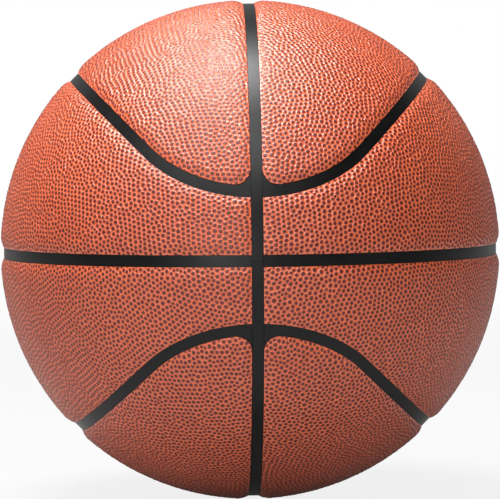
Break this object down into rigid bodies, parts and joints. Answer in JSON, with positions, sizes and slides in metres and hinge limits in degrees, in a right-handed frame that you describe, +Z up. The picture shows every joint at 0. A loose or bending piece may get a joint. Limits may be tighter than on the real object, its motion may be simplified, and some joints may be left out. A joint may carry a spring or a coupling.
{
  "type": "basketball",
  "caption": "Inflated indoor and outdoor basketball: pebbled tan cover panels between black channel strips, over a wound carcass with a bladder and a needle valve.",
  "frame": {"origin": "centre of the ball", "axes": "+Z up with the equator seam level, +X to the right, +Y to the back where the valve is; the meridian seam lies in the plane x = 0"},
  "size_m": [0.2414, 0.241, 0.2416],
  "materials": {
    "cover": "pebbled composite leather, orange with dark brown pebble tops, semi-gloss",
    "channel_rubber": "smooth black, satin",
    "sponge": "fine closed-cell sponge, matte",
    "carcass_rubber": "matte, lightly ground for glue",
    "winding_yarn": "wound nylon yarn set in latex",
    "bladder_rubber": "smooth butyl, satin",
    "valve_rubber": "smooth, matte",
    "plug_rubber": "smooth, satin"
  },
  "bodies": {
    "ball": {"bladder": "bladder_rubber", "winding": "winding_yarn", "carcass": "carcass_rubber", "valve_base": "valve_rubber", "panel_crown_upper_right": "cover", "panel_crown_upper_left": "cover", "panel_crown_lower_right": "cover", "panel_crown_lower_left": "cover", "panel_waist_upper_right": "cover", "panel_waist_upper_left": "cover", "panel_waist_lower_right": "cover", "panel_waist_lower_left": "cover", "pad_crown_upper_right": "sponge", "pad_crown_upper_left": "sponge", "pad_crown_lower_right": "sponge", "pad_crown_lower_left": "sponge", "pad_waist_upper_right": "sponge", "pad_waist_upper_left": "sponge", "pad_waist_lower_right": "sponge", "pad_waist_lower_left": "sponge", "strip_meridian_upper": "channel_rubber", "strip_meridian_lower": "channel_rubber", "strip_equator_right": "channel_rubber", "strip_equator_left": "channel_rubber", "strip_loop_upper_right": "channel_rubber", "strip_loop_upper_left": "channel_rubber", "strip_loop_lower_right": "channel_rubber", "strip_loop_lower_left": "channel_rubber"},
    "valve_plug": {"valve_plug": "plug_rubber"}
  },
  "joints": [
    {"name": "valve_plug_slide", "type": "slide", "parent": "ball", "child": "valve_plug", "axis": [0, 1, 0], "range_m": [0, 0.018]}
  ]
}
